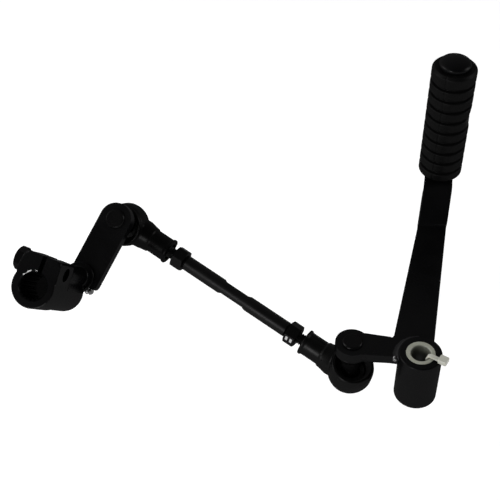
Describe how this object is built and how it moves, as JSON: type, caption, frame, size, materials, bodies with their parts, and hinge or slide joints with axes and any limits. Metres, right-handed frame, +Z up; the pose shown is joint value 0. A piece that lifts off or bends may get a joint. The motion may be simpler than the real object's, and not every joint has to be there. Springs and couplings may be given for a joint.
{
  "type": "motorcycle gear shift lever",
  "caption": "Gear shift lever with a ribbed rubber peg on a pivoted steel plate, joined by a ball-jointed tie rod to a splined clamp arm.",
  "frame": {"origin": "on the lever's pivot axis, at the lower face of the pivot boss", "axes": "+Z up the pivot axis towards the pedal side, +Y along the lever bar towards the pedal, +X away from the tie rod"},
  "size_m": [0.2182, 0.136, 0.1112],
  "materials": {
    "black_paint": "satin",
    "black_steel": "semi-gloss",
    "black_rubber": "matte",
    "white_nylon": "satin",
    "dark_nylon": "satin"
  },
  "bodies": {
    "lever": {"lever_plate": "black_paint", "pivot_boss": "black_paint", "pivot_weld": "black_paint", "upper_bush": "white_nylon", "lower_bush": "white_nylon", "pedal_peg": "black_steel", "pedal_rubber": "black_rubber", "right_ball_stud": "black_steel", "cable_tie": "white_nylon"},
    "right_seal": {"right_dust_seal": "black_rubber"},
    "link": {"right_rod_end": "black_steel", "right_race": "dark_nylon", "right_end_cap": "black_steel", "right_lock_nut": "black_steel", "tie_rod": "black_steel", "left_lock_nut": "black_steel", "left_rod_end": "black_steel", "left_race": "dark_nylon", "left_end_cap": "black_steel"},
    "left_seal": {"left_dust_seal": "black_rubber"},
    "clamp_arm": {"left_ball_stud": "black_steel", "clamp_plate": "black_paint", "clamp_boss": "black_paint", "clamp_weld": "black_paint", "pinch_bolt": "black_steel", "pinch_washer": "black_steel"}
  },
  "joints": [
    {"name": "right_turn", "type": "hinge", "parent": "lever", "child": "right_seal", "pos_m": [-0.0302, 0.0091, 0.0043], "axis": [0, 0, 1], "range_deg": [-45, 45]},
    {"name": "right_tilt", "type": "hinge", "parent": "right_seal", "child": "link", "pos_m": [-0.0302, 0.0091, 0.0043], "axis": [-0.5548, -0.832, 0], "range_deg": [-3, 28]},
    {"name": "left_tilt", "type": "hinge", "parent": "link", "child": "left_seal", "pos_m": [-0.13773, 0.08081, 0.0339], "axis": [-0.811, 0.5408, 0.2232], "range_deg": [-30, 4]},
    {"name": "left_turn", "type": "hinge", "parent": "left_seal", "child": "clamp_arm", "pos_m": [-0.13773, 0.08081, 0.0339], "axis": [-0.1895, -0.6198, 0.7615], "range_deg": [-90, 90]}
  ]
}
